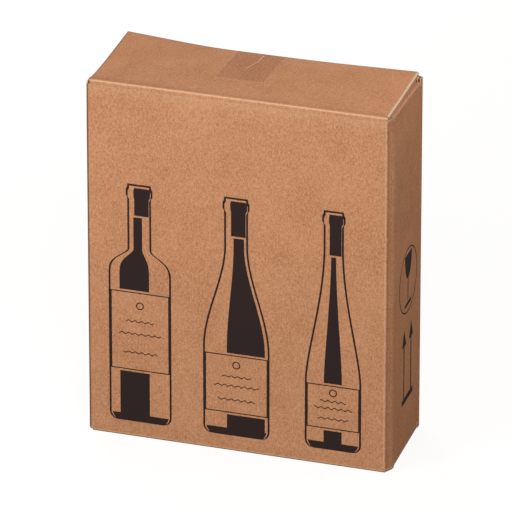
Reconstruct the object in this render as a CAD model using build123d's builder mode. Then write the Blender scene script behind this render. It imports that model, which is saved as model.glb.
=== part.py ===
from build123d import *
import os

# Shipping box for one row of bottles: a carton folded from one sheet of corrugated board,
# closed by a strip of tape, with a folded fitting inside that keeps the bottles apart.
# Millimetres, +Z up, front towards -Y, origin at the middle of the bottom.

# Driving dimensions

# Bottles that the box is made for
bottle_count = 3
bottle_diameter = 80.0
neck_diameter = 32.0

# Room round the bottles
bottle_clearance = 1.0  # in the holes for base and neck
bottle_spacing = 21.6  # from one bottle to the next
bottle_side_gap = 14.0  # to the front and back panels
inner_height = 368.0

# Corrugated board and its folds
board = 4.0
crease_inner_radius = 0.5
layer_gap = 0.3  # air between flaps that lie on each other

# Flaps and slots of the carton
front_slot_width = 17.0  # side panel's edge left unfolded beside the front panel
back_slot_width = 10.0  # and beside the back panel
slot_drop = 3.0  # dip of the side panel's upper edge beside the front panel
slot_cut = 2.0  # between a side panel's free edge and its flaps
dust_flap_length = 96.0
bottom_inner_flap_length = 57.0
bottom_flap_inset = 0.5  # outer bottom flaps, short of the side panels' faces
bottom_seam = 2.0  # between the two outer bottom flaps
glue_tab_width = 32.0
glue_tab_bevel = 14.0

# Lid, flat where the tape holds it and sprung up at its two back corners
lid_inset_left = 3.0
lid_inset_right = 0.5
lid_inset_right_back = 4.5  # the right edge runs in towards the back
lid_lift_left = 6.0
lid_lift_right = 2.6

# Closing tape
tape_width = 50.0
tape_thickness = 0.2
tape_centre_x = -12.0
tape_on_lid = 69.0
tape_on_back = 60.0

# Fitting inside
fitting_clearance = 0.5
base_tray_height = 44.0
neck_plate_height = 244.0  # from the carton's inner floor to the top of the neck plate
tongue_width = 36.0  # of a divider, through a tray's plate
tongue_clearance = 0.25

# Derived sizes of the carton
crease_outer_radius = crease_inner_radius + board
bottle_cell = bottle_diameter + bottle_spacing  # room along the row for one bottle
inner_width = bottle_count * bottle_cell
inner_depth = bottle_diameter + 2 * bottle_side_gap
outer_width = inner_width + 2 * board
outer_depth = inner_depth + 2 * board
half_width = outer_width / 2
half_depth = outer_depth / 2
side_bottom = board + layer_gap  # underside of the inner bottom flaps
inner_floor = side_bottom + board
inner_ceiling = inner_floor + inner_height  # underside of the dust flaps
side_top = inner_ceiling + board  # upper face of the dust flaps
lid_underside = side_top + layer_gap
outer_height = lid_underside + board
crease_leg = crease_outer_radius + crease_inner_radius  # a panel's height in its flap's profile
sleeve_bottom = crease_leg
sleeve_top = outer_height - crease_leg
side_crease_bottom = side_bottom + crease_outer_radius  # where the inner bottom flaps turn in
side_crease_top = side_top - crease_outer_radius  # where the dust flaps turn in
tab_fold_end = crease_outer_radius + board - half_width

# Derived sizes of the lid and the tape
lid_left = lid_inset_left - half_width
lid_right = half_width - lid_inset_right
lid_right_back = half_width - lid_inset_right_back
lid_start = crease_outer_radius + board - half_depth  # y where the lid leaves its crease
tape_left = tape_centre_x - tape_width / 2
tape_right = tape_centre_x + tape_width / 2
tape_top = outer_height + tape_thickness
tape_back = half_depth + tape_thickness

# Derived sizes of the fitting, which stands between the front panel and the glue tab
fitting_width = inner_width - 2 * fitting_clearance
fitting_depth = inner_depth - board - 2 * fitting_clearance
fitting_y = -board / 2
base_plate_top = inner_floor + base_tray_height
neck_plate_bottom = inner_floor + neck_plate_height - board
base_hole_radius = bottle_diameter / 2 + bottle_clearance
neck_hole_radius = neck_diameter / 2 + bottle_clearance
bottle_positions = [(i - (bottle_count - 1) / 2) * bottle_cell for i in range(bottle_count)]
divider_positions = [x + bottle_cell / 2 for x in bottle_positions[:-1]]


def strip_profile(plane, *outer_points):
    """Section of a folded strip of board: its outer face through the points, body to the left."""
    with BuildSketch(plane) as profile:
        with BuildLine():
            FilletPolyline(*outer_points, radius=crease_outer_radius)
            offset(amount=board, side=Side.LEFT)
        make_face()
    return profile.sketch


def lid_wing(front_x, back_x, corner_lift, bend_x):
    """Triangle of the lid beside the tape, bent up along a line from its front to its back edge."""
    bend_start = Vector(front_x, lid_start, lid_underside)
    bend_end = Vector(bend_x, half_depth, lid_underside)
    tip = Vector(back_x, half_depth, lid_underside + corner_lift)
    bend = bend_end - bend_start
    wing_plane = Plane(origin=bend_start, x_dir=bend, z_dir=bend.cross(tip - bend_start))
    with BuildPart() as wing:
        with BuildSketch(wing_plane):
            with BuildLine():
                corners = [wing_plane.to_local_coords(p) for p in (bend_start, bend_end, tip)]
                Polyline(*corners, close=True)
            make_face()
        extrude(amount=board, dir=(0, 0, 1))
    return wing.part


# Carton
with BuildPart() as carton:
    # Sleeve of four panels: it starts at the fold of the glue tab in the back left corner,
    # runs round the box and ends in a cut edge over that tab
    with BuildSketch(Plane.XY.offset(sleeve_bottom)):
        with BuildLine():
            FilletPolyline(
                (tab_fold_end, half_depth - board),
                (-half_width, half_depth - board),
                (-half_width, -half_depth),
                (half_width, -half_depth),
                (half_width, 0),
                radius=crease_outer_radius,
            )
            offset(amount=board, side=Side.LEFT)
        make_face()
        with BuildLine():
            FilletPolyline(
                (half_width, 0),
                (half_width, half_depth),
                (-half_width, half_depth),
                radius=crease_outer_radius,
            )
            offset(amount=board, side=Side.LEFT)
        make_face()
    extrude(amount=sleeve_top - sleeve_bottom)

    # Glue tab with bevelled ends, bonded to the inside of the back panel
    with BuildSketch(Plane.XZ.offset(board - half_depth)):
        with BuildLine():
            Polyline(
                (tab_fold_end, side_crease_bottom),
                (glue_tab_width - half_width, side_crease_bottom + glue_tab_bevel),
                (glue_tab_width - half_width, side_crease_top - glue_tab_bevel),
                (tab_fold_end, side_crease_top),
                close=True,
            )
        make_face()
    extrude(amount=board)

    # Room in the side panels' edges for their flaps, which turn in a little further inside
    flap_width = outer_depth - front_slot_width - back_slot_width
    flap_y = (front_slot_width - back_slot_width) / 2
    with BuildSketch(Plane.YZ):
        for crease, edge in ((side_crease_bottom, sleeve_bottom), (side_crease_top, sleeve_top)):
            with Locations((flap_y, (crease + edge) / 2)):
                Rectangle(flap_width + 2 * slot_cut, abs(crease - edge))
    extrude(amount=half_width, both=True, mode=Mode.SUBTRACT)

    # Round-ended dips beside the front panel
    slot_length = front_slot_width - crease_outer_radius
    slot_y = crease_outer_radius + slot_length / 2 - half_depth
    with BuildSketch(Plane.YZ):
        with Locations((slot_y, sleeve_top)):
            SlotOverall(slot_length, 2 * slot_drop)
    extrude(amount=half_width, both=True, mode=Mode.SUBTRACT)

    # Dust flap and inner bottom flap of each side panel, between the slots
    right_start = Plane.front.offset(back_slot_width - half_depth)
    left_start = Plane.back.offset(front_slot_width - half_depth)
    for side_plane in (right_start, left_start):
        dust_flap = strip_profile(
            side_plane,
            (half_width, side_crease_top - board),
            (half_width, side_top),
            (half_width - dust_flap_length, side_top),
        )
        bottom_inner_flap = strip_profile(
            side_plane,
            (half_width - bottom_inner_flap_length, side_bottom),
            (half_width, side_bottom),
            (half_width, side_crease_bottom + board),
        )
        for profile in (dust_flap, bottom_inner_flap):
            extrude(profile, amount=flap_width)

    # Outer bottom flaps of the front and back panels
    for end_plane in (Plane.right, Plane.left):
        bottom_outer_flap = strip_profile(
            end_plane,
            (-half_depth, sleeve_bottom),
            (-half_depth, 0),
            (-bottom_seam / 2, 0),
        )
        extrude(bottom_outer_flap, amount=half_width - bottom_flap_inset, both=True)

    # Top of the back panel, a cut edge just under the lid
    with BuildSketch(Plane.XY.offset(sleeve_top)):
        with Locations((-crease_outer_radius / 2, half_depth - board / 2)):
            Rectangle(outer_width - crease_outer_radius, board)
    extrude(amount=side_top - sleeve_top)

    # Crease between the front panel and the lid, the lid's flat middle and its sprung corners
    lid_crease = strip_profile(
        Plane.YZ.offset(lid_left),
        (lid_start, outer_height),
        (-half_depth, outer_height),
        (-half_depth, sleeve_top),
    )
    extrude(lid_crease, amount=lid_right - lid_left)
    with BuildSketch(Plane.XY.offset(lid_underside)):
        with BuildLine():
            Polyline(
                (lid_left, lid_start),
                (lid_right, lid_start),
                (tape_right, half_depth),
                (tape_left, half_depth),
                close=True,
            )
        make_face()
    extrude(amount=board)
    add(lid_wing(lid_left, lid_left, lid_lift_left, tape_left))
    add(lid_wing(lid_right, lid_right_back, lid_lift_right, tape_right))
carton.part.label = "carton"


# Closing tape, on the lid, over its back edge and down the back panel
with BuildPart() as closing_tape:
    with BuildSketch(Plane.YZ.offset(tape_left)):
        with BuildLine():
            Polyline(
                (half_depth - tape_on_lid, tape_top),
                (tape_back, tape_top),
                (tape_back, outer_height - tape_on_back),
            )
            offset(amount=tape_thickness, side=Side.RIGHT)
        make_face()
    extrude(amount=tape_width)
closing_tape.part.label = "closing_tape"


def tray(plate_level, edge_level, hole_radius):
    """Channel of board: a plate with a hole for each bottle, and a skirt at front and back."""
    front = fitting_y - fitting_depth / 2
    back = fitting_y + fitting_depth / 2
    points = [(front, edge_level), (front, plate_level), (back, plate_level), (back, edge_level)]
    if edge_level < plate_level:
        points.reverse()
    with BuildPart() as channel:
        extrude(strip_profile(Plane.YZ, *points), amount=fitting_width / 2, both=True)
        with Locations([(x, fitting_y, plate_level) for x in bottle_positions]):
            Cylinder(hole_radius, 4 * board, mode=Mode.SUBTRACT)
        with Locations([(x, fitting_y, plate_level) for x in divider_positions]):
            Box(
                board + 2 * tongue_clearance,
                tongue_width + 2 * tongue_clearance,
                4 * board,
                mode=Mode.SUBTRACT,
            )
    return channel.part


# Base tray, standing on the bottom flaps
with BuildPart() as base_tray:
    add(tray(base_plate_top, inner_floor, base_hole_radius))
base_tray.part.label = "base_tray"

# Neck tray, resting on the dividers with its skirts up to the dust flaps
with BuildPart() as neck_tray:
    add(tray(neck_plate_bottom, inner_ceiling - fitting_clearance, neck_hole_radius))
neck_tray.part.label = "neck_tray"


def divider(x):
    """Sheet between two bottles, with a tongue down into the base tray and one up."""
    height = neck_plate_bottom - base_plate_top
    with BuildPart() as sheet:
        with BuildSketch(Plane.YZ.offset(x - board / 2)):
            with Locations((fitting_y, base_plate_top + height / 2)):
                Rectangle(fitting_depth, height)
                Rectangle(tongue_width, height + 2 * board)
        extrude(amount=board)
    return sheet.part


os.makedirs("parts", exist_ok=True)
export_step(carton.part, "parts/carton.step")
export_step(closing_tape.part, "parts/closing_tape.step")
export_step(base_tray.part, "parts/base_tray.step")
export_step(neck_tray.part, "parts/neck_tray.step")
for number, x in enumerate(divider_positions, start=1):
    divider_part = divider(x)
    divider_part.label = f"divider_{number}"
    export_step(divider_part, f"parts/divider_{number}.step")
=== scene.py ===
import math
from collections import namedtuple

import bmesh
import bpy
from mathutils import Matrix, Vector, geometry, noise


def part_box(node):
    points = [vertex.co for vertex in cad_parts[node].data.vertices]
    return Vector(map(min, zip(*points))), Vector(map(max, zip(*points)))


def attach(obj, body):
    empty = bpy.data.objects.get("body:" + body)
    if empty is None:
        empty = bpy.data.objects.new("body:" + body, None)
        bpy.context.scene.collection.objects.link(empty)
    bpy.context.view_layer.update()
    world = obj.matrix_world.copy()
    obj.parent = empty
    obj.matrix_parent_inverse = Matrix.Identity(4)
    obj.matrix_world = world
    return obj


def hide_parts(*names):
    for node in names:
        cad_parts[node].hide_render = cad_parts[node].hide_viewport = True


# Shipping box for bottles: one folded sheet of kraft board with raw cut edges, ink print and tape.
# Lengths are millimetres until a mesh is made, +Z is up and the front looks towards -Y.

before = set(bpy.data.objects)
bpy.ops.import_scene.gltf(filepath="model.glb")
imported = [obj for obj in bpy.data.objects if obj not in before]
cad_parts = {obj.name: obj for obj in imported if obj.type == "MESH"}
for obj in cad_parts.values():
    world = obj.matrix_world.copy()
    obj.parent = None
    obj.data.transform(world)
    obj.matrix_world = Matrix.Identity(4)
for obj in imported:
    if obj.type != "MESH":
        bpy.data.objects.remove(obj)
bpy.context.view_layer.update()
MILLIMETRE = 0.001
TOLERANCE = 1e-3  # millimetres within which two places are one
ROUNDING = 1e-6  # share of a spacing that is only a rounding error
MERGE_DIGITS = 4  # decimals to which lines of the mesh are told apart


def node_box(node):
    """Lowest and highest corner of a node, in millimetres."""
    low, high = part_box(node)
    return low / MILLIMETRE, high / MILLIMETRE


# Sizes read from the frame
_, carton_high = node_box("carton")
tape_low, tape_high = node_box("closing_tape")
divider_low, divider_high = node_box("divider_1")
half_width = carton_high.x
half_depth = carton_high.y
board = divider_high.x - divider_low.x

# Tape and lid
tape_thickness = 0.2
outer_height = tape_high.z - tape_thickness
lid_lift_left = carton_high.z - outer_height
lid_lift_right = 2.6
lid_inset_left = 3.0
lid_inset_right = 0.5
lid_inset_right_back = 4.5
lid_bend_softness = 0.25  # share of the sprung corner over which the bend is spread

# Folds, flaps and slots of the sheet
crease_inner_radius = 0.5
fold_radius = board + crease_inner_radius
fold_tightness = 6  # power of the rounded corner that the outer paper follows round a fold
layer_gap = 0.3
crease_leg = fold_radius + crease_inner_radius
front_slot_width = 17.0
back_slot_width = 10.0
slot_cut = 2.0
dust_flap_length = 96.0
bottom_inner_flap_length = 57.0
bottom_flap_inset = 0.5
bottom_flap_inset_left = 3.6
bottom_flap_taper = 8.5  # by which the flap is narrower past its fold
bottom_taper_run = 5.0
bottom_seam = 2.0
glue_tab_width = 32.0
glue_tab_bevel = 14.0

# Spring of the side panels, which stand out most a little behind the front folds
spring_right = 4.9
spring_left = 1.8
spring_crest = 9.5  # from the front face
spring_softness = 0.3
spring_kept = 0.4  # share of the spring that is left at the top, where the lid holds the panel
spring_fade = 38.0
strip_sag = 4.0  # by which the free lower edge of a sprung panel comes down
strip_rise_right = 1.0  # by which its free upper edge stands up
strip_rise_left = 1.8
strip_rise_back = 3.3
rise_ramp = 4.0  # from the front face, over which the rise begins
sag_ramp = 2.2
sag_fade_start = 0.6  # share of a back fold after which the sag fades
side_drop = 3.2  # by which the lower fold of a side panel hangs below its flap
side_drop_run = 4.5

# Liners, fluting and marks of the board
liner = 0.9
edge_recess = 0.9
recess_slope = 0.4
flute_pitch = 7.9
flute_paper = 0.35
flute_set_back = 0.15  # behind the cut edge
flute_reach = 2.2
flute_samples = 12  # in one wave
wave_height = 0.35
wave_length = 110.0
score_depth = 0.3
score_offset = 1.2
score_width = 0.7
# height of the painted highlight band at the top of the front panel
painted_highlight_zone = 14.0
crush_depth = 0.8
crush_width = 2.4

# Spacing of the mesh lines
coarse = 7.0
fine = 0.9
crease_zone = 6.0
fold_steps = 18
rim_step = 0.5  # across the free edges beside the front panel
sharp_angle = math.radians(40)

# Derived levels and widths
fold_length = fold_radius * math.pi / 2
side_bottom = board + layer_gap
side_top = outer_height - board - layer_gap
sleeve_bottom = crease_leg
sleeve_top = outer_height - crease_leg
side_crease_bottom = side_bottom + fold_radius
side_crease_top = side_top - fold_radius
lid_left = lid_inset_left - half_width
lid_right = half_width - lid_inset_right
lid_right_back = half_width - lid_inset_right_back
lid_start = fold_radius + board - half_depth
lid_fold_start = outer_height - fold_radius
lid_flat_start = lid_fold_start + fold_length
lid_end = lid_flat_start + 2 * half_depth - fold_radius


def spaced(start, stop, spacing):
    """Evenly spaced lines from start to stop, at most the spacing apart."""
    count = max(1, math.ceil(abs(stop - start) / spacing - ROUNDING))
    return [start + (stop - start) * i / count for i in range(count + 1)]


def merged(*runs):
    """Lines of several runs in one rising list, without doubles."""
    return sorted({round(value, MERGE_DIGITS) for run in runs for value in run})


def panel_lines(start, stop):
    """Lines across a panel, close together beside its two folds."""
    zone = min(crease_zone, (stop - start) / 2)
    return merged(
        spaced(start, start + zone, fine),
        spaced(start + zone, stop - zone, coarse),
        spaced(stop - zone, stop, fine),
    )


def clamp(value):
    """Value kept between 0 and 1."""
    return min(max(value, 0.0), 1.0)


def smooth(value):
    """Smooth step from 0 to 1."""
    value = clamp(value)
    return value * value * (3 - 2 * value)


def bell(value):
    """Smooth hump of height 1 round 0."""
    return math.exp(-value * value)


# Sleeve, measured along the board's outer face from the glue tab round to the back panel
Segment = namedtuple("Segment", "name start length origin normal curved")
panel_lengths = {
    "tab": glue_tab_width - fold_radius,
    "left": 2 * half_depth - board - 2 * fold_radius,
    "front": 2 * half_width - 2 * fold_radius,
    "right": 2 * half_depth - 2 * fold_radius,
    "back": 2 * half_width - fold_radius,
}
quarter_turn = Matrix.Rotation(math.pi / 2, 2)


def lay_out_sleeve():
    """Panels and the folds between them, each with its start point and outward normal."""
    segments = []
    origin = Vector((glue_tab_width - half_width, half_depth - board))
    normal = Vector((0.0, 1.0))
    start = 0.0
    for name, length in panel_lengths.items():
        if segments:
            segments.append(Segment("fold_" + name, start, fold_length, origin, normal, True))
            centre = origin - normal * fold_radius
            normal = quarter_turn @ normal
            origin = centre + normal * fold_radius
            start += fold_length
        segments.append(Segment(name, start, length, origin, normal, False))
        origin = origin + quarter_turn @ normal * length
        start += length
    return segments


sleeve = lay_out_sleeve()
by_name = {segment.name: segment for segment in sleeve}
panels_first = sorted(sleeve, key=lambda segment: segment.curved)


def find_segment(across):
    """Panel or fold that a place along the sleeve lies on; a shared line belongs to the panel."""
    for segment in panels_first:
        if segment.start - TOLERANCE <= across <= segment.start + segment.length + TOLERANCE:
            return segment
    return sleeve[0] if across < 0 else sleeve[-1]


def tight(turn):
    """How far the outer paper stands out from a round fold, drawn towards a sharp corner."""
    power = fold_tightness
    reach = (abs(math.cos(turn)) ** power + abs(math.sin(turn)) ** power) ** (-1 / power)
    return fold_radius * (reach - 1)


def on_sleeve(segment, distance, skin=0.0):
    """Point on the sleeve's outer line and its outward normal; skin is 1 on the outer face."""
    if not segment.curved:
        return segment.origin + quarter_turn @ segment.normal * distance, segment.normal
    turn = distance / fold_radius
    normal = Matrix.Rotation(turn, 2) @ segment.normal
    point = segment.origin + (normal - segment.normal) * fold_radius
    return point + normal * tight(turn) * skin, normal


# Levels of the outer faces of a panel's lower and upper flap
flap_levels = {
    "left": (side_bottom, side_top),
    "right": (side_bottom, side_top),
    "front": (0.0, outer_height),
    "back": (0.0, None),
}


def over_folds(name, along, skin=0.0):
    """Outward offset, height, outward and upward part of the normal, and turn of the fold."""
    low, high = flap_levels.get(name, (None, None))
    for level, sign in ((high, 1), (low, -1)):
        if level is None:
            continue
        run = sign * along - (sign * level - fold_radius)
        if run <= 0:
            continue
        turn = min(run / fold_radius, math.pi / 2)
        beyond = max(0.0, run - fold_length)
        extra = tight(turn) * skin
        if sign < 0 and name in ("left", "right"):
            level = side_bottom - side_drop * (1 - smooth(beyond / side_drop_run))
        offset = fold_radius * (math.cos(turn) - 1) - beyond + extra * math.cos(turn)
        height = level + sign * (fold_radius * (math.sin(turn) - 1) + extra * math.sin(turn))
        return offset, height, math.cos(turn), sign * math.sin(turn), turn
    return 0.0, along, 1.0, 0.0, 0.0


def flap_range(segment):
    """First and last line of the flaps of a side panel."""
    front = front_slot_width - fold_radius
    if segment.name == "right":
        return front, segment.length - back_slot_width + fold_radius
    return back_slot_width - board - fold_radius, segment.length - front


def flap_name(segment, distance):
    """Name of the panel whose flaps a place belongs to; the strips beside the slots have none."""
    if segment.name in ("left", "right"):
        first, last = flap_range(segment)
        if not first - TOLERANCE <= distance <= last + TOLERANCE:
            return "strip"
    return segment.name


def from_front(segment, distance):
    """Distance of a place on a side panel or its front fold from the front face."""
    turn = distance / fold_radius
    if segment.name == "right":
        return distance + fold_radius
    if segment.name == "left":
        return segment.length - distance + fold_radius
    if segment.name == "fold_right":
        return fold_radius * (1 - math.cos(turn))
    return fold_radius * (1 - math.sin(turn))


# Side panels with their front folds, which spring and have free edges at the slots
side_of = {"right": "right", "fold_right": "right", "left": "left", "fold_front": "left"}
springs = {"right": spring_right, "left": -spring_left}
rises = {"right": strip_rise_right, "left": strip_rise_left}


def side_spring(segment, distance, along):
    """Sideways spring of a side panel: a short rise, a long fall to the back, and less at the top."""
    if segment.name not in side_of:
        return 0.0
    behind = from_front(segment, distance)
    rise = behind / spring_crest
    fall = 1 - (behind - spring_crest) / (2 * half_depth - board - fold_radius - spring_crest)
    soft = spring_softness
    share = clamp(0.5 + 0.5 * (fall - rise) / soft)
    shape = fall * (1 - share) + rise * share - soft * share * (1 - share)
    held = (1 - spring_kept) * smooth((along - side_crease_top) / spring_fade + 1)
    return springs[side_of[segment.name]] * max(shape, 0.0) * (1 - held)


def slot_shift(segment, distance, along):
    """Shift in height of the sleeve's free edges at the corners: up above, and down below."""
    upper = clamp((along - side_crease_top) / (sleeve_top - side_crease_top))
    lower = clamp((side_crease_bottom - along) / (side_crease_bottom - sleeve_bottom))
    if segment.name == "back":
        under_lid = max(0.0, lid_lift(half_width - fold_radius - distance, half_depth))
        return strip_rise_back * upper * under_lid / lid_lift_right * (distance < half_width)
    if segment.name in ("fold_back", "fold_left"):
        from_side = distance if segment.name == "fold_back" else segment.length - distance
        rise = strip_rise_back if segment.name == "fold_back" else 0.0
        kept = 1 - smooth((from_side / segment.length - sag_fade_start) / (1 - sag_fade_start))
        return rise * upper - strip_sag * lower * kept
    if segment.name not in side_of:
        return 0.0
    behind = from_front(segment, distance)
    if behind < front_slot_width - slot_cut + TOLERANCE:
        rise = rises[side_of[segment.name]] * smooth(behind / rise_ramp)
        sags = {"left": 0.0, "fold_front": strip_sag * distance / fold_length}
        sag = sags.get(segment.name, strip_sag * smooth(behind / sag_ramp))
        return rise * upper - sag * lower
    past_slot = 2 * half_depth - back_slot_width + slot_cut
    if behind > past_slot - TOLERANCE and along >= sleeve_bottom - TOLERANCE:
        rise = strip_rise_back if segment.name == "right" else 0.0
        return rise * upper - strip_sag * lower
    return 0.0


def lid_edge(back):
    """Right edge of the lid at a share of the way to the back."""
    return lid_right + (lid_right_back - lid_right) * back


def flap_spread(segment, distance, along):
    """Place along the sheet once a flap has its own width, other than its panel's."""
    if segment.name == "front" and along > sleeve_top:
        share = smooth((along - sleeve_top) / (lid_fold_start - sleeve_top))
        back = max(0.0, along - lid_flat_start) / (lid_end - lid_flat_start)
        ends = (lid_left, lid_edge(back))
    elif segment.name in ("front", "back") and along < sleeve_bottom:
        share = smooth((sleeve_bottom - along) / (sleeve_bottom - fold_radius))
        past = fold_radius - fold_length - along
        inset = bottom_flap_inset + bottom_flap_taper * smooth(past / bottom_taper_run)
        left_inset = max(inset, bottom_flap_inset_left)
        ends = (left_inset - half_width, half_width - inset)
    else:
        return distance
    first = fold_radius - half_width
    last = first + segment.length
    if segment.name == "back":
        ends = (-ends[1], -ends[0])
        first = -(half_width - fold_radius)
        last = half_width
    wide = ends[0] + (ends[1] - ends[0]) * distance / segment.length - first
    return distance + (wide - distance) * share


def lid_lift(x, y):
    """Height that the sprung lid stands above its flat place."""
    if x < tape_low.x:
        side = (tape_low.x - x) / (tape_low.x - lid_left)
        lift = lid_lift_left
    elif x > tape_high.x:
        back = (y - lid_start) / (half_depth - lid_start)
        side = (x - tape_high.x) / (lid_edge(back) - tape_high.x)
        lift = lid_lift_right
    else:
        return 0.0
    reach = side + (y - lid_start) / (half_depth - lid_start) - 1
    soft = lid_bend_softness
    if reach <= 0:
        return 0.0
    bend = reach * reach / (4 * soft) if reach < 2 * soft else reach - soft
    return lift * bend / (1 - soft)


def panel_wave(segment, distance, along):
    """Gentle unevenness of a panel between its folds."""
    if segment.curved or not sleeve_bottom < along < sleeve_top:
        return 0.0
    level = (along - sleeve_bottom) / (sleeve_top - sleeve_bottom)
    share = clamp(distance / segment.length)
    hold = math.sin(math.pi * share) * math.sin(math.pi * level)
    place = Vector((segment.start + distance, along, 0.0)) / wave_length
    return wave_height * noise.noise(place) * hold ** 0.5


def pressed_marks(segment, distance, along):
    """Depth of the score line beside a fold and of the crushed side edges of the lid."""
    depth = 0.0
    if segment.name in ("left", "right"):
        for gap in (distance, segment.length - distance):
            depth += score_depth * bell((gap - score_offset) / score_width)
    if segment.name == "front" and along > lid_fold_start:
        depth += score_depth * bell((along - lid_flat_start - score_offset) / score_width)
        if along > lid_flat_start:
            depth += crush_depth * max(0.0, 1 - (segment.length - distance) / crush_width) ** 2
    return depth


def sheet_point(across, along, depth):
    """Place in space of a point of the flat sheet, at a depth below its outer face."""
    segment = find_segment(across)
    distance = across - segment.start
    if segment.name == "tab":
        middle = (side_crease_bottom + side_crease_top) / 2
        half = (side_crease_top - side_crease_bottom) / 2
        cut = glue_tab_bevel * (1 - distance / segment.length)
        along = middle + (along - middle) * (half - cut) / half
    skin = 1 - clamp(depth / board)
    spread = flap_spread(segment, distance, along)
    point, normal = on_sleeve(segment, spread, skin)
    offset, height, outward, upward, _ = over_folds(flap_name(segment, distance), along, skin)
    depth += pressed_marks(segment, distance, along) * skin
    offset += panel_wave(segment, distance, along)
    place = (point + normal * (offset - depth * outward)).to_3d()
    place.x += side_spring(segment, distance, along)
    place.z = height - depth * upward + slot_shift(segment, distance, along)
    if segment.name == "front" and along > lid_flat_start:
        place.z += lid_lift(place.x, place.y)
    return place


# Worn and pressed marks, with painted highlight and painted shade: share of the paler or darker tone, place
# and spread of the mark.
# A slope sets in at its place, or ends there where its spread is negative.
Mark = namedtuple("Mark", "share place spread")
bottom_wear = Mark(0.5, 0.48, 0.1)  # in radians round the fold
side_wear_and_highlight = Mark(0.35, 0.34, 0.07)  # in shares of the fold's length; pale crest line of worn paper and painted highlight
rim_wear = Mark(1.0, 1.0, 0.4)  # above the free lower edge
# painted highlight: the front panel paler in a band below the lid's fold, fading downwards
front_top_painted_highlight = Mark(0.14, lid_fold_start - painted_highlight_zone, painted_highlight_zone)
lid_side_wear = Mark(1.3, 1.2 * crush_width, -crush_width)  # from the lid's right edge
rim_painted_shadow = Mark(1.2, 0.8, -0.8)  # above the free lower edge; painted shadow at the rim
left_fold_painted_shade = Mark(1.1, 0.72, -0.1)  # in shares of the fold's length; painted shade on the part turning towards the left panel
side_dark = Mark(0.5, 0.56, 0.1)
bottom_fold_painted_shade = Mark(1.2, 0.58, 0.12)  # in radians round the fold; painted shade where the fold turns under
score_dark = Mark(0.6, score_offset, score_width)  # behind the lid's fold
second_dark = Mark(0.25, 4 * score_offset, score_width)
lid_edge_dark = Mark(1.1, 1.3, -1.3)  # from the lid's left and back edges
lid_crest_wear_and_highlight = (0.62, 20)  # share of the pale line on a fold's crest, worn paper with a painted highlight, and power that makes it thin
# pale crest line of the dust flaps' folds: worn paper with a painted highlight
dust_crest_wear_and_highlight = (0.22, 6)


def hump(mark, value):
    """Strength of a mark that is strongest at its place."""
    return mark.share * bell((value - mark.place) / mark.spread)


def slope(mark, value):
    """Strength of a mark that sets in or ends at its place."""
    return mark.share * smooth((value - mark.place) / mark.spread)


def wear_and_highlight_at(across, along):
    """Share of paler paper: worn crests of the folds, with a painted highlight on the upper and side ones,
    a painted highlight on the front's upper band, the lid's right edge and the strips' rims.
    """
    segment = find_segment(across)
    distance = across - segment.start
    _, _, _, upward, turn = over_folds(flap_name(segment, distance), along)
    if upward < 0:
        return hump(bottom_wear, turn)
    share, power = lid_crest_wear_and_highlight if segment.name == "front" else dust_crest_wear_and_highlight
    # pale crest line of each upper fold: worn paper with a painted highlight
    wear_and_highlight = share * math.sin(2 * turn) ** power
    # painted highlight on the front panel's upper band
    if segment.name == "front" and turn == 0 and along > sleeve_bottom:
        wear_and_highlight = slope(front_top_painted_highlight, along)
    if segment.name == "front" and along > lid_flat_start:
        wear_and_highlight = max(wear_and_highlight, slope(lid_side_wear, segment.length - distance))
    # pale crest line of the other folds: worn paper with a painted highlight
    if segment.curved:
        wear_and_highlight = hump(side_wear_and_highlight, distance / fold_length)
    if segment.name in side_of and along < side_crease_bottom:
        wear_and_highlight = max(wear_and_highlight, hump(rim_wear, along - sleeve_bottom))
    return wear_and_highlight


def crease_and_shade_at(across, along):
    """Share of darker paper: pressed score lines on the lid, a dark line round the other folds and along
    the lid's left and back edges, painted shade on the left fold and under the bottom folds, and a painted
    shadow at the strips' lower rims.
    """
    segment = find_segment(across)
    distance = across - segment.start
    rim = 0.0
    # painted shadow at the free lower rims of the side strips
    if segment.name in side_of and along < side_crease_bottom:
        rim = slope(rim_painted_shadow, along - sleeve_bottom)
    # painted shade on the left fold's part that turns towards the left panel
    if segment.name == "fold_front":
        return max(rim, slope(left_fold_painted_shade, distance / fold_length))
    if segment.curved:
        return max(rim, hump(side_dark, distance / fold_length))
    if segment.name == "front" and along > lid_fold_start:
        past = along - lid_flat_start
        edge = min(lid_end - along, distance)
        return max(hump(score_dark, past), hump(second_dark, past), slope(lid_edge_dark, edge))
    # painted shade where the bottom folds turn under
    if segment.name in ("front", "back") and along < sleeve_bottom:
        return slope(bottom_fold_painted_shade, over_folds(segment.name, along)[-1])
    return rim


# Layers of a cut edge, as depth below the outer face and recess behind the cut
edge_layers = [
    (0.0, 0.0),
    (liner, 0.0),
    (liner + recess_slope, edge_recess),
    (board - liner - recess_slope, edge_recess),
    (board - liner, 0.0),
    (board, 0.0),
]
KRAFT, RAW_EDGE, CORE = range(3)
# the recess between the liners takes the core material: fluting tone darkened as painted shade of the
# hollow
edge_slots = [RAW_EDGE, CORE, CORE, CORE, RAW_EDGE]


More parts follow.
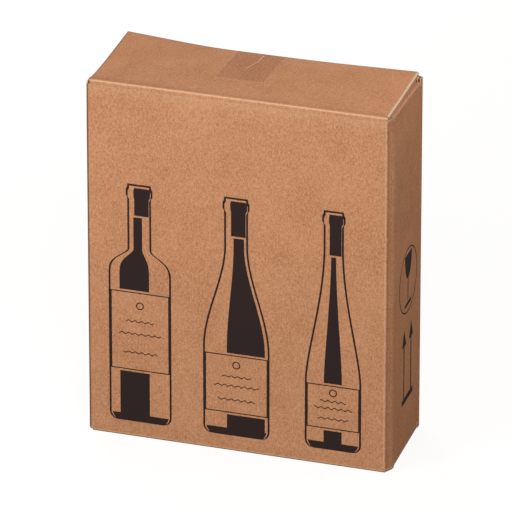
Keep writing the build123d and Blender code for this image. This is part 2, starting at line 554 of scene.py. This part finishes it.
class Sheet:
    """The flat sheet as cells between mesh lines, folded into a closed mesh with cut edges."""

    def __init__(self):
        self.numbers = {}
        self.points = []
        self.wear_and_highlight = []
        self.crease_and_shade = []
        self.across = []
        self.cells = []

    def vertex(self, corner, layer, inward=(0, 0)):
        """Number of a corner's vertex on one layer, made when it is first asked for."""
        key = (*corner, layer)
        if key not in self.numbers:
            depth, recess = edge_layers[layer]
            across = corner[0] + inward[0] * recess
            along = corner[1] + inward[1] * recess
            self.numbers[key] = len(self.points)
            self.points.append(sheet_point(across, along, depth))
            self.wear_and_highlight.append(wear_and_highlight_at(*corner) if layer == 0 else 0.0)
            self.crease_and_shade.append(crease_and_shade_at(*corner) if layer == 0 else 0.0)
            self.across.append(across)
        return self.numbers[key]

    def add(self, across_lines, along_lines):
        """Fills a rectangle of the sheet with cells."""
        for a0, a1 in zip(across_lines, across_lines[1:]):
            for b0, b1 in zip(along_lines, along_lines[1:]):
                self.cells.append([(a0, b0), (a1, b0), (a1, b1), (a0, b1)])

    def cut_edges(self):
        """Edges with a cell on one side only, and the way into the sheet at their corners."""
        sides = {side for cell in self.cells for side in zip(cell, cell[1:] + cell[:1])}
        edges = [side for side in sides if side[::-1] not in sides]
        inward = {}
        for first, second in sorted(edges):
            step = (second[0] - first[0], second[1] - first[1])
            left = ((step[1] < 0) - (step[1] > 0), (step[0] > 0) - (step[0] < 0))
            for corner in (first, second):
                old = inward.get(corner, (0, 0))
                inward[corner] = tuple(o if o else n for o, n in zip(old, left))
        return sorted(edges), inward

    def build(self, name):
        """Closed mesh: outer face, inner face and the cut edges with liners and hollow core."""
        faces = []
        slots = []
        inner = len(edge_layers) - 1
        for cell in self.cells:
            faces.append([self.vertex(corner, 0) for corner in cell])
            faces.append([self.vertex(corner, inner) for corner in reversed(cell)])
            slots += [KRAFT, KRAFT]
        edges, inward = self.cut_edges()
        for first, second in edges:
            for layer, slot in enumerate(edge_slots):
                corners = [(first, layer), (first, layer + 1), (second, layer + 1), (second, layer)]
                faces.append([self.vertex(c, k, inward[c]) for c, k in corners])
                slots.append(slot)
        piece = mesh_object(name, self.points, faces)
        piece.data.polygons.foreach_set("material_index", slots)
        marks = {"wear_and_highlight": self.wear_and_highlight, "crease_and_shade": self.crease_and_shade, "across": self.across}
        for label, values in marks.items():
            attribute = piece.data.attributes.new(label, "FLOAT", "POINT")
            attribute.data.foreach_set("value", values)
        return piece


def mesh_object(name, points, faces):
    """Mesh object from points in millimetres, shaded smooth apart from its sharp edges."""
    mesh = bpy.data.meshes.new(name)
    mesh.from_pydata([point * MILLIMETRE for point in points], [], faces)
    mesh.validate()
    mesh.shade_smooth()
    mesh.set_sharp_from_angle(angle=sharp_angle)
    piece = bpy.data.objects.new(name, mesh)
    bpy.context.scene.collection.objects.link(piece)
    return piece


# Materials
def srgb(red, green, blue):
    """Linear colour from 8-bit sRGB values."""
    linear = []
    for value in (red, green, blue):
        share = value / 255
        linear.append(share / 12.92 if share <= 0.04045 else ((share + 0.055) / 1.055) ** 2.4)
    return (*linear, 1.0)


# Tones that a grain runs through, each with its place on the grain's scale
kraft_tones = ((0.37, srgb(168, 115, 80)), (0.5, srgb(193, 139, 102)), (0.63, srgb(210, 157, 119)))
edge_tones = ((0.35, srgb(206, 172, 140)), (0.65, srgb(236, 212, 184)))
# core tones: the fluting's kraft, darkened as painted shade of the hollow between the liners
core_tones_with_painted_shade = ((0.35, srgb(128, 92, 66)), (0.65, srgb(186, 148, 116)))
ink_tones = ((0.35, srgb(50, 40, 39)), (0.6, srgb(50, 40, 39)), (0.85, srgb(78, 60, 54)))
tape_tones = ((0.3, srgb(166, 110, 76)), (0.7, srgb(176, 120, 84)))
# dark tone of pressed paper, also used for painted shade and painted shadow
kraft_pressed_and_shade = srgb(84, 54, 38)
# pale tone of worn paper, also used for painted highlights
kraft_worn_and_highlight = srgb(232, 196, 166)
tape_pale = srgb(244, 206, 176)

# Grain of the papers and the film, with its size in millimetres
Grain = namedtuple("Grain", "size detail roughness")
speckle_grain = Grain(1.5, 3.0, 0.65)
fibre_grain = Grain(1.1, 2.0, 0.6)
fibre_stretch = (1.0, 1.0, 0.3)
cloud_grain = Grain(38.0, 3.0, 0.55)
kraft_shares = (0.55, 0.3, 0.15)  # of speckles, fibres and clouds in the kraft's tone
patch_grain = Grain(2.5, 3.0, 0.5)
patch_least = 0.4
fuzz_grain = Grain(0.9, 3.0, 0.7)
fuzz_height = 0.08
fuzz_roughness = 0.2
edge_grain = Grain(1.2, 3.0, 0.7)
core_grain = Grain(2.0, 3.0, 0.7)
ink_grain = Grain(0.8, 3.0, 0.7)
film_grain = Grain(14.0, 3.0, 0.6)
film_height = 0.25
film_cover = 0.09  # share of light that the clear film holds back
pale_cover = 0.48  # and by how much more where it is pale
kraft_roughness = 0.68
kraft_gloss = 0.05
pressed_and_shade_share = 0.7
flute_trace = 0.25


def colour_mix(tree):
    """Factor, two colours and result of a new colour mix node."""
    node = tree.nodes.new("ShaderNodeMix")
    node.data_type = "RGBA"
    sockets = {socket.identifier: socket for socket in (*node.inputs, *node.outputs)}
    return [sockets[name] for name in ("Factor_Float", "A_Color", "B_Color", "Result_Color")]


class Nodes:
    """Short hand for building a material's node tree."""

    def __init__(self, name):
        self.material = bpy.data.materials.new(name)
        self.material.use_nodes = True
        self.tree = self.material.node_tree
        self.shader = self.tree.nodes["Principled BSDF"]
        self.place = self.add("ShaderNodeTexCoord").outputs["Object"]

    def add(self, kind, **values):
        """New node with values set on its properties or on its inputs by name."""
        node = self.tree.nodes.new(kind)
        for key, value in values.items():
            if hasattr(node, key):
                setattr(node, key, value)
            else:
                node.inputs[key.replace("_", " ").capitalize()].default_value = value
        return node

    def link(self, value, socket):
        """Joins an output to an input, or sets the input to a number or a colour."""
        if isinstance(value, (int, float, tuple)):
            socket.default_value = value
        else:
            self.tree.links.new(value, socket)

    def attribute(self, name):
        """Values that the mesh's vertices carry under a name."""
        return self.add("ShaderNodeAttribute", attribute_name=name).outputs["Fac"]

    def noise(self, grain, stretch=(1, 1, 1)):
        """Noise of a grain, stretched along an axis."""
        mapping = self.add("ShaderNodeMapping")
        mapping.inputs["Scale"].default_value = stretch
        self.link(self.place, mapping.inputs["Vector"])
        texture = self.add("ShaderNodeTexNoise", scale=1 / (grain.size * MILLIMETRE))
        texture.inputs["Detail"].default_value = grain.detail
        texture.inputs["Roughness"].default_value = grain.roughness
        self.link(mapping.outputs["Vector"], texture.inputs["Vector"])
        return texture.outputs["Fac"]

    def math(self, operation, first, second=0.0):
        """Math node on outputs or numbers."""
        node = self.add("ShaderNodeMath", operation=operation)
        for value, socket in zip((first, second), node.inputs):
            self.link(value, socket)
        return node.outputs[0]

    def scaled(self, output, share, start):
        """An output times a share, on top of a start."""
        return self.math("ADD", self.math("MULTIPLY", output, share), start)

    def ramp(self, factor, *stops):
        """Colour ramp with stops of position and colour."""
        node = self.add("ShaderNodeValToRGB")
        elements = node.color_ramp.elements
        while len(elements) < len(stops):
            elements.new(0.5)
        for element, (position, colour) in zip(elements, stops):
            element.position = position
            element.color = colour
        self.link(factor, node.inputs["Fac"])
        return node.outputs["Color"]

    def mix(self, factor, first, second):
        """Colour mix of two outputs or colours."""
        *inputs, result = colour_mix(self.tree)
        for value, socket in zip((factor, first, second), inputs):
            self.link(value, socket)
        return result

    def bump(self, height, distance):
        """Bump of a height output, with its full height in millimetres."""
        node = self.add("ShaderNodeBump")
        node.inputs["Distance"].default_value = distance * MILLIMETRE
        self.link(height, node.inputs["Height"])
        self.link(node.outputs["Normal"], self.shader.inputs["Normal"])

    def finished(self, colour, gloss, roughness):
        """The material, with what has been built for its shader."""
        self.link(colour, self.shader.inputs["Base Color"])
        self.link(gloss, self.shader.inputs["Specular IOR Level"])
        self.link(roughness, self.shader.inputs["Roughness"])
        return self.material


def kraft_colour(nodes):
    """Speckled kraft colour: clouds, fibres and fine dark and pale flecks."""
    grains = [nodes.noise(speckle_grain), nodes.noise(fibre_grain, fibre_stretch), nodes.noise(cloud_grain)]
    tone = 0.0
    for grain, share in zip(grains, kraft_shares):
        tone = nodes.scaled(grain, share, tone)
    return nodes.ramp(tone, *kraft_tones)


def kraft_material():
    """Outer and inner liner of the board, with worn crests, pressed lines, painted highlight and painted
    shade, and a trace of the fluting.
    """
    nodes = Nodes("kraft_board")
    patch = nodes.math("ADD", nodes.noise(patch_grain), patch_least)
    wear_and_highlight = nodes.math("MULTIPLY", nodes.attribute("wear_and_highlight"), patch)
    crease_and_shade = nodes.math("MULTIPLY", nodes.attribute("crease_and_shade"), pressed_and_shade_share)
    colour = nodes.mix(crease_and_shade, nodes.mix(wear_and_highlight, kraft_colour(nodes), kraft_worn_and_highlight), kraft_pressed_and_shade)
    turn = nodes.math("MULTIPLY", nodes.attribute("across"), 2 * math.pi / flute_pitch)
    fuzz = nodes.noise(fuzz_grain)
    nodes.bump(nodes.scaled(nodes.math("SINE", turn), flute_trace, fuzz), fuzz_height)
    return nodes.finished(colour, kraft_gloss, nodes.scaled(fuzz, fuzz_roughness, kraft_roughness))


def grain_material(name, grain, tones, height, gloss, roughness):
    """Bare paper or printing ink, with one grain for its tone and its bump."""
    nodes = Nodes(name)
    texture = nodes.noise(grain)
    nodes.bump(texture, height)
    return nodes.finished(nodes.ramp(texture, *tones), gloss, roughness)


def plain_kraft_material():
    """Kraft board of the pieces inside the carton."""
    nodes = Nodes("kraft_fitting")
    nodes.bump(nodes.noise(fuzz_grain), fuzz_height)
    return nodes.finished(kraft_colour(nodes), kraft_gloss, roughness=0.8)


def tape_material():
    """Clear packing tape with a brown tint, pale along its edges and its wrinkle."""
    nodes = Nodes("clear_tape")
    film = nodes.noise(film_grain)
    nodes.bump(film, film_height)
    pale = nodes.attribute("pale")
    nodes.link(nodes.scaled(pale, pale_cover, film_cover), nodes.shader.inputs["Alpha"])
    nodes.shader.inputs["IOR"].default_value = 1.48
    colour = nodes.mix(pale, nodes.ramp(film, *tape_tones), tape_pale)
    return nodes.finished(colour, gloss=0.2, roughness=0.45)


kraft = kraft_material()
bare_paper = {"height": 0.15, "gloss": 0.15, "roughness": 0.9}
raw_edge = grain_material("raw_paper_edge", edge_grain, edge_tones, **bare_paper)
core = grain_material("board_core_with_painted_shade", core_grain, core_tones_with_painted_shade, **bare_paper)
fitting_kraft = plain_kraft_material()
ink = grain_material("printing_ink", ink_grain, ink_tones, height=0.05, gloss=0.02, roughness=0.75)
tape_film = tape_material()


# Carton: the sleeve and the flaps that run on from its panels
def side_slot_lines(segment):
    """Lines across a side panel, drawn closely along its free edge beside the front panel."""
    front = front_slot_width - fold_radius
    marks = spaced(0.0, front - slot_cut, rim_step) + [front]
    if segment.name == "left":
        marks = [segment.length - value for value in marks]
    first, last = flap_range(segment)
    marks += [max(first - slot_cut, 0.0), min(last + slot_cut, segment.length)]
    return merged(panel_lines(0.0, segment.length), marks, (first, last))


def shifted(segment, lines):
    """Lines of one panel as places along the whole sleeve."""
    return merged([segment.start + value for value in lines])


def make_carton():
    """Folds the whole sheet and gives it its materials."""
    sheet = Sheet()
    low_edge = spaced(sleeve_bottom, side_crease_bottom, fine)
    high_edge = spaced(side_crease_top, sleeve_top, fine)
    middle = panel_lines(side_crease_bottom, side_crease_top)
    lines = {}
    for segment in sleeve:
        if segment.curved:
            lines[segment.name] = spaced(0.0, segment.length, segment.length / fold_steps)
        elif segment.name in ("left", "right"):
            lines[segment.name] = side_slot_lines(segment)
        else:
            lines[segment.name] = panel_lines(0.0, segment.length)
        sheet.add(shifted(segment, lines[segment.name]), middle)

    def picked(segment, first, last):
        chosen = [v for v in lines[segment.name] if first - TOLERANCE <= v <= last + TOLERANCE]
        return shifted(segment, chosen)

    for segment in sleeve:
        free = []
        if segment.name in ("left", "right"):
            first, last = flap_range(segment)
            free.append(picked(segment, 0.0, first - slot_cut))
            free.append(picked(segment, last + slot_cut, segment.length))
        elif segment.name != "tab":
            free.append(shifted(segment, lines[segment.name]))
        for across in free:
            sheet.add(across, low_edge)
            sheet.add(across, high_edge)

    def upper_lines(edge, level, end):
        turn = spaced(level - fold_radius, level - fold_radius + fold_length, fold_length / fold_steps)
        return merged([edge], turn, panel_lines(turn[-1], end))

    def lower_lines(edge, level, length):
        turn = spaced(level + fold_radius - fold_length, level + fold_radius, fold_length / fold_steps)
        end = turn[0] - (length - fold_radius)
        return merged([edge], turn, panel_lines(end, turn[0]))

    front = by_name["front"]
    sheet.add(shifted(front, lines["front"]), upper_lines(sleeve_top, outer_height, lid_end))
    dust_end = side_crease_top + fold_length + dust_flap_length - fold_radius
    for name in ("left", "right"):
        flap = picked(by_name[name], *flap_range(by_name[name]))
        sheet.add(flap, upper_lines(side_crease_top, side_top, dust_end))
        sheet.add(flap, lower_lines(side_crease_bottom, side_bottom, bottom_inner_flap_length))
    for name in ("front", "back"):
        flap = shifted(by_name[name], lines[name])
        sheet.add(flap, lower_lines(sleeve_bottom, 0.0, half_depth - bottom_seam / 2))
    sheet.add(shifted(by_name["back"], lines["back"]), [sleeve_top, side_top])
    piece = sheet.build("carton_board")
    for material in (kraft, raw_edge, core):
        piece.data.materials.append(material)
    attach(piece, "root")
    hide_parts("carton")


make_carton()


# Fluting: the wavy middle paper, seen in the cut edges across it
def make_fluting(name, segment, along, inward):
    """Wavy strip of paper between the liners along one cut edge of a panel or its flap."""
    swing = (board - 2 * liner - flute_paper) / 2
    points = []
    samples = spaced(0.0, segment.length, flute_pitch / flute_samples)
    for distance in samples:
        across = segment.start + distance
        middle = board / 2 + swing * math.sin(2 * math.pi * across / flute_pitch)
        for recess in (flute_set_back, flute_reach):
            for side in (-0.5, 0.5):
                depth = middle + side * flute_paper
                points.append(sheet_point(across, along + inward * recess, depth))
    faces = [[0, 1, 3, 2]]
    for i in range(len(samples) - 1):
        a = 4 * i
        b = a + 4
        faces += [[a, b, b + 1, a + 1], [a + 1, b + 1, b + 3, a + 3]]
        faces += [[a + 3, b + 3, b + 2, a + 2], [a + 2, b + 2, b, a]]
    last = len(points) - 4
    faces.append([last, last + 2, last + 3, last + 1])
    piece = mesh_object(name, points, faces)
    piece.data.materials.append(raw_edge)
    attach(piece, "root")


make_fluting("lid_fluting", by_name["front"], lid_end, -1)
make_fluting("back_fluting", by_name["back"], side_top, -1)


# Print: flat ink fields laid on a panel
ink_height = 0.07
ink_root = 0.04
field_step = 5.0


def make_print(name, fields, place):
    """Thin closed film of ink for a list of fields, each an outline with its holes."""
    flat = bmesh.new()
    for outlines in fields:
        points = [point for outline in outlines for point in outline]
        corners = [flat.verts.new((u, v, 0.0)) for u, v in points]
        tessellation = geometry.tessellate_polygon([[(u, v, 0.0) for u, v in o] for o in outlines])
        for triangle in tessellation:
            face = flat.faces.new([corners[i] for i in triangle])
            face.normal_update()
            if face.normal.z < 0:
                face.normal_flip()
    while True:
        long_edges = [edge for edge in flat.edges if edge.calc_length() > field_step]
        if not long_edges:
            break
        bmesh.ops.subdivide_edges(flat, edges=long_edges, cuts=1)
        bmesh.ops.triangulate(flat, faces=[face for face in flat.faces if len(face.verts) > 3])
    flat.verts.index_update()
    count = len(flat.verts)
    points = [place(vert.co.x, vert.co.y, ink_height) for vert in flat.verts]
    points += [place(vert.co.x, vert.co.y, -ink_root) for vert in flat.verts]
    faces = []
    for face in flat.faces:
        top = [vert.index for vert in face.verts]
        faces += [top, [i + count for i in reversed(top)]]
    for edge in flat.edges:
        if edge.is_boundary:
            loop = edge.link_loops[0]
            first = loop.vert.index
            second = loop.link_loop_next.vert.index
            faces.append([second, first, first + count, second + count])
    flat.free()
    piece = mesh_object(name, points, faces)
    piece.data.materials.append(ink)
    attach(piece, "root")


def on_panel(name):
    """Function for points above a panel, by the way from its middle and the height."""
    segment = by_name[name]
    middle = segment.start + segment.length / 2
    return lambda aside, z, lift: sheet_point(middle + aside, z, -lift)


def circle(y, z, radius, count=64):
    """Outline of a circle."""
    turns = [2 * math.pi * i / count for i in range(count)]
    return [(y + radius * math.cos(turn), z + radius * math.sin(turn)) for turn in turns]


def rectangle(y, z, width, height):
    """Outline of a rectangle standing on a middle point."""
    half = width / 2
    return [(y - half, z), (y + half, z), (y + half, z + height), (y - half, z + height)]


# Bottle figures of three common kinds, each standing in front of its cell
Bottle = namedtuple("Bottle", "x radius shoulder neck_foot neck square label capsule shade")
bottle_base = 17.0
bottle_top = 278.0
base_round = 9.0
line_width = 2.0
label_line = 1.1
base_band = 8.0
band_shade = (-0.96, 0.96)  # left and right end, as shares of the half width
capsule_shade = (-0.5, 0.95)
lip_top = 5.0  # lip of the mouth, below the top
lip_foot = 14.0
lip_width = 1.6  # by which it stands out from the neck
round_step = 0.8  # between the points of an outline, round the base
side_step = 3.0  # and above it
least_width = 0.5
rule_step = 1.0
rule_wave = 0.9
rule_turn = 0.9  # radians in a millimetre
label_rules = ((0.62, 0.9), (0.46, 1.35), (0.22, 1.1))  # share of the label's height, length in radii
label_ring_height = 0.83  # share of the label's height
label_ring_radii = (4.2, 3.0)
label_ring_points = 32
bottle_cell = -divider_low.x - divider_high.x
bottles = [
    Bottle(-bottle_cell, 33.0, 172.0, 207.0, 12.5, 2.4, (74.0, 160.0), 242.0, (-0.74, 0.34)),
    Bottle(0.0, 35.0, 112.0, 226.0, 12.5, 1.0, (42.0, 106.0), 234.0, (-0.32, 0.97)),
    Bottle(bottle_cell, 29.5, 92.0, 240.0, 10.5, 0.8, (40.0, 88.0), 228.0, (-0.38, 0.36)),
]


def bottle_radius(bottle, z):
    """Half width of a bottle's figure at a height."""
    up = z - bottle_base
    if up < base_round:
        return bottle.radius - base_round + math.sqrt(base_round**2 - (base_round - up) ** 2)
    if z < bottle.shoulder:
        return bottle.radius
    if z < bottle.neck_foot:
        share = ((z - bottle.shoulder) / (bottle.neck_foot - bottle.shoulder)) ** bottle.square
        return bottle.neck + (bottle.radius - bottle.neck) * (1 - smooth(share))
    if bottle_top - lip_foot < z < bottle_top - lip_top:
        return bottle.neck + lip_width
    return bottle.neck


def between(bottle, low, high, left, right, inset=0.0):
    """Field between two shares of the half width, drawn in by an inset, from low to high."""
    foot = min(max(low, bottle_base + base_round), high)
    heights = merged(spaced(low, foot, round_step), spaced(foot, high, side_step))
    widths = [(max(bottle_radius(bottle, z) - inset, least_width), z) for z in heights]
    rising = [(bottle.x + right * width, z) for width, z in widths]
    falling = [(bottle.x + left * width, z) for width, z in reversed(widths)]
    return rising + falling


def wavy_rule(x, z, length):
    """Thin wavy line of print."""
    half = length / 2
    steps = spaced(-half, half, rule_step)
    lower = [(x + u, z + rule_wave * math.sin(u * rule_turn)) for u in steps]
    upper = [(u, v + label_line) for u, v in reversed(lower)]
    return lower + upper


def bottle_fields(bottle):
    """Ink of one bottle: its outline, the dark of the glass, the label's frame and its rules."""
    low, high = bottle.label
    gap = line_width
    outline = between(bottle, bottle_base, bottle_top, -1, 1)
    inside = between(bottle, bottle_base + gap, bottle_top - gap, -1, 1, gap)
    frame_edge = between(bottle, low, high, -1, 1, gap)
    frame_inside = between(bottle, low + label_line, high - label_line, -1, 1, gap + label_line)
    fields = [[outline, inside], [frame_edge, frame_inside]]
    band_top = bottle_base + base_band
    for bottom, top in ((high + gap, bottle.capsule), (band_top, low - gap)):
        fields.append([between(bottle, bottom, top, *bottle.shade, 2 * gap)])
    fields.append([between(bottle, bottle.capsule + gap, bottle_top - 2 * gap, *capsule_shade, gap)])
    fields.append([between(bottle, bottle_base + gap, band_top, *band_shade, gap)])
    for share, length in label_rules:
        z = low + (high - low) * share
        fields.append([wavy_rule(bottle.x, z, bottle.radius * length)])
    middle = low + (high - low) * label_ring_height
    fields.append([circle(bottle.x, middle, radius, label_ring_points) for radius in label_ring_radii])
    return fields


make_print("front_print", [field for b in bottles for field in bottle_fields(b)], on_panel("front"))


# Handling signs on the right panel: a glass in a ring, and two arrows on a bar
sign_y = 7.0
ring_z = 184.5
ring_radius = 35.0
ring_width = 1.4
cup_foot = ring_z + 2.0
cup_height = 27.0
cup_radius = 13.5
cup_step = 0.05  # share of the cup's height
stem_foot = ring_z - 24.0
stem_width = 2.2
stem_overlap = 0.5  # into the cup
glass_foot_width = 26.0
glass_foot_height = 3.5
arrow_foot = 59.0
arrow_top = 134.5
arrow_offset = 13.5
arrow_width = 3.2
head_width = 16.0
head_height = 18.0
bar_width = 42.0
bar_height = 6.0


def sign_fields():
    """Ink of the handling signs."""
    fields = [[circle(sign_y, ring_z, ring_radius), circle(sign_y, ring_z, ring_radius - ring_width)]]
    cup = []
    for rise in spaced(0.0, 1.0, cup_step):
        half = cup_radius * math.sqrt(1 - (1 - rise) ** 2)
        cup.append((sign_y + half, cup_foot + cup_height * rise))
    cup += [(2 * sign_y - y, z) for y, z in reversed(cup[1:])]
    fields.append([cup])
    fields.append([rectangle(sign_y, stem_foot, stem_width, cup_foot + stem_overlap - stem_foot)])
    glass_foot = stem_foot - glass_foot_height
    fields.append([rectangle(sign_y, glass_foot, glass_foot_width, glass_foot_height)])
    head_foot = arrow_top - head_height
    half = head_width / 2
    for y in (sign_y - arrow_offset, sign_y + arrow_offset):
        fields.append([rectangle(y, arrow_foot, arrow_width, head_foot - arrow_foot)])
        fields.append([[(y - half, head_foot), (y + half, head_foot), (y, arrow_top)]])
    fields.append([rectangle(sign_y, arrow_foot - bar_height, bar_width, bar_height)])
    return fields


make_print("side_print", sign_fields(), on_panel("right"))


# Closing tape, pressed on the lid and down the back, with a wrinkle and torn toothed ends
tape_film_thickness = 0.12
tape_clearance = 0.03  # above the paper
tooth_height = 1.1
tooth_pitch = 2.4
wrinkle_height = 0.35
wrinkle_width = 0.6
pale_edge = 0.7
wrinkle_points = [(-14.5, 17.0), (-8.5, 38.0), (-8.0, 54.0)]
film_step = 0.6
bend_zone = 2.0  # on each side of the lid's back edge
bend_row = 0.4
lid_row = 1.0
back_row = 3.0


def wrinkle(x, y):
    """Share of the full height of the tape's wrinkle, along a bent line."""
    spot = Vector((x, y))
    height = 0.0
    for first, second in zip(wrinkle_points, wrinkle_points[1:]):
        near, share = geometry.intersect_point_line(spot, Vector(first), Vector(second))
        if 0 <= share <= 1:
            height = max(height, bell((spot - near.to_2d()).length / wrinkle_width))
    return height


def tape_point(x, run, lift):
    """Point of the tape: run is measured from the lid's back edge, below 0 on the lid."""
    front = by_name["front"]
    if run <= 0:
        along = lid_end + run
        back = (along - lid_flat_start) / (lid_end - lid_flat_start)
        share = (x - lid_left) / (lid_edge(back) - lid_left)
        place = sheet_point(front.start + share * front.length, along, -lift)
        place.z += wrinkle_height * wrinkle(place.x, place.y)
        return place
    lift_here = lid_lift(x, half_depth)
    return Vector((x, half_depth + lift, outer_height + lift_here - run))


def make_tape():
    """Thin closed strip over the lid's back edge, with toothed ends and pale sides."""
    columns = spaced(tape_low.x, tape_high.x, film_step)
    on_lid = half_depth - tape_low.y
    on_back = outer_height - tape_low.z
    rows = merged(
        spaced(-on_lid, -bend_zone, lid_row),
        spaced(-bend_zone, bend_zone, bend_row),
        spaced(bend_zone, on_back, back_row),
    )
    points = []
    pale = []
    for lift in (tape_clearance + tape_film_thickness, tape_clearance):
        for x in columns:
            for j, run in enumerate(rows):
                tooth = tooth_height * abs((x / tooth_pitch) % 1 - 0.5) * 2
                torn = tooth if j == 0 else -tooth if j == len(rows) - 1 else 0.0
                points.append(tape_point(x, run + torn, lift))
                side = min(x - tape_low.x, tape_high.x - x)
                crest = wrinkle(x, points[-1].y) if run < 0 else 0.0
                pale.append(max(crest, 1 - smooth(side / pale_edge)))
    height = len(rows)
    count = len(columns) * height
    faces = []
    for i in range(len(columns) - 1):
        for j in range(height - 1):
            a = i * height + j
            quad = [a, a + height, a + height + 1, a + 1]
            faces += [quad, [k + count for k in reversed(quad)]]
    rim = [i * height for i in range(len(columns))]
    rim += [(len(columns) - 1) * height + j for j in range(1, height)]
    rim += [i * height + height - 1 for i in reversed(range(len(columns) - 1))]
    rim += list(reversed(range(1, height - 1)))
    for a, b in zip(rim, rim[1:] + rim[:1]):
        faces.append([a, a + count, b + count, b])
    piece = mesh_object("tape_strip", points, faces)
    attribute = piece.data.attributes.new("pale", "FLOAT", "POINT")
    attribute.data.foreach_set("value", pale)
    piece.data.materials.append(tape_film)
    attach(piece, "root")
    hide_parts("closing_tape")


make_tape()

# Fitting inside keeps its solids
for node in ("base_tray", "neck_tray", "divider_1", "divider_2"):
    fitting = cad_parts[node]
    fitting.data.materials.clear()
    fitting.data.materials.append(fitting_kraft)


# Floor, light and camera
floor_reach = 6.0  # metres
floor_tone = 0.13
floor_glow = 0.89
ambient_light = (0.28, 0.228, 0.195, 1.0)
white = (1.0, 1.0, 1.0, 1.0)


def seen_by_eye(tree, socket, hidden, seen):
    """Sets a strength to one value for what the eye sees and another for the light on the object."""
    path = tree.nodes.new("ShaderNodeLightPath")
    total = path.outputs["Is Camera Ray"]
    for name in ("Is Glossy Ray", "Is Transmission Ray"):
        either = tree.nodes.new("ShaderNodeMath")
        either.operation = "MAXIMUM"
        tree.links.new(total, either.inputs[0])
        tree.links.new(path.outputs[name], either.inputs[1])
        total = either.outputs[0]
    scaled = tree.nodes.new("ShaderNodeMapRange")
    scaled.inputs["To Min"].default_value = hidden
    scaled.inputs["To Max"].default_value = seen
    tree.links.new(total, scaled.inputs["Value"])
    tree.links.new(scaled.outputs["Result"], socket)


def make_floor():
    """Pale floor that looks white to the eye and keeps the box's shadow."""
    turns = ((-1, -1), (1, -1), (1, 1), (-1, 1))
    corners = [(x * floor_reach, y * floor_reach, 0.0) for x, y in turns]
    mesh = bpy.data.meshes.new("floor")
    mesh.from_pydata(corners, [], [[0, 1, 2, 3]])
    floor = bpy.data.objects.new("floor", mesh)
    bpy.context.scene.collection.objects.link(floor)
    material = bpy.data.materials.new("pale_floor")
    material.use_nodes = True
    shader = material.node_tree.nodes["Principled BSDF"]
    shader.inputs["Base Color"].default_value = (floor_tone, floor_tone, floor_tone, 1.0)
    shader.inputs["Roughness"].default_value = 0.9
    shader.inputs["Specular IOR Level"].default_value = 0.0
    shader.inputs["Emission Color"].default_value = white
    seen_by_eye(material.node_tree, shader.inputs["Emission Strength"], 0.0, floor_glow)
    mesh.materials.append(material)


# Lamps: place in metres, size and power
Lamp = namedtuple("Lamp", "name place size power")
box_middle = Vector((0.0, 0.0, outer_height / 2 * MILLIMETRE))
lamps = [
    Lamp("key", Vector((-0.75, -1.15, 0.92)), 0.9, 12.9),
    Lamp("fill", Vector((0.84, -1.72, 1.4)), 0.9, 24.5),
    Lamp("above", Vector((0.55, 0.15, 0.8)), 0.3, 1.0),
    Lamp("behind", Vector((-1.3, 1.6, 0.5)), 1.0, 30.0),
]


def make_light():
    """Surroundings that look white and light the box evenly, and four soft lamps."""
    world = bpy.data.worlds.new("studio")
    bpy.context.scene.world = world
    world.use_nodes = True
    tree = world.node_tree
    factor, hidden, seen, result = colour_mix(tree)
    hidden.default_value = ambient_light
    seen.default_value = white
    seen_by_eye(tree, factor, 0.0, 1.0)
    tree.links.new(result, tree.nodes["Background"].inputs["Color"])
    for lamp in lamps:
        light = bpy.data.lights.new(lamp.name, "AREA")
        light.shape = "DISK"
        light.size = lamp.size
        light.energy = lamp.power
        holder = bpy.data.objects.new(lamp.name, light)
        holder.location = lamp.place
        holder.rotation_euler = (box_middle - lamp.place).to_track_quat("-Z", "Y").to_euler()
        bpy.context.scene.collection.objects.link(holder)


camera_yaw = math.radians(18.564)
camera_pitch = math.radians(24.301)
camera_focal = 7000.0  # in pixels of the frame
frame_pixels = 512.0
camera_target = (-1.22, -1.77, 6996.68)  # middle of the box, right, down and forward of the camera
sensor_width = 36.0
camera_clip = 100.0  # metres


def make_camera():
    """Camera at the photograph's angle, far away with a long lens."""
    right = Vector((math.cos(camera_yaw), math.sin(camera_yaw), 0.0))
    forward = Vector(
        (
            -math.sin(camera_yaw) * math.cos(camera_pitch),
            math.cos(camera_yaw) * math.cos(camera_pitch),
            -math.sin(camera_pitch),
        )
    )
    down = forward.cross(right)
    middle = Vector((0.0, 0.0, outer_height / 2))
    place = middle - right * camera_target[0] - down * camera_target[1] - forward * camera_target[2]
    lens = bpy.data.cameras.new("camera")
    lens.sensor_width = sensor_width
    lens.lens = camera_focal / frame_pixels * sensor_width
    lens.clip_end = camera_clip
    camera = bpy.data.objects.new("camera", lens)
    turn = Matrix((right, -down, -forward)).transposed()
    camera.matrix_world = Matrix.Translation(place * MILLIMETRE) @ turn.to_4x4()
    bpy.context.scene.collection.objects.link(camera)
    bpy.context.scene.camera = camera


make_floor()
make_light()
make_camera()
bpy.context.scene.view_settings.view_transform = "Standard"
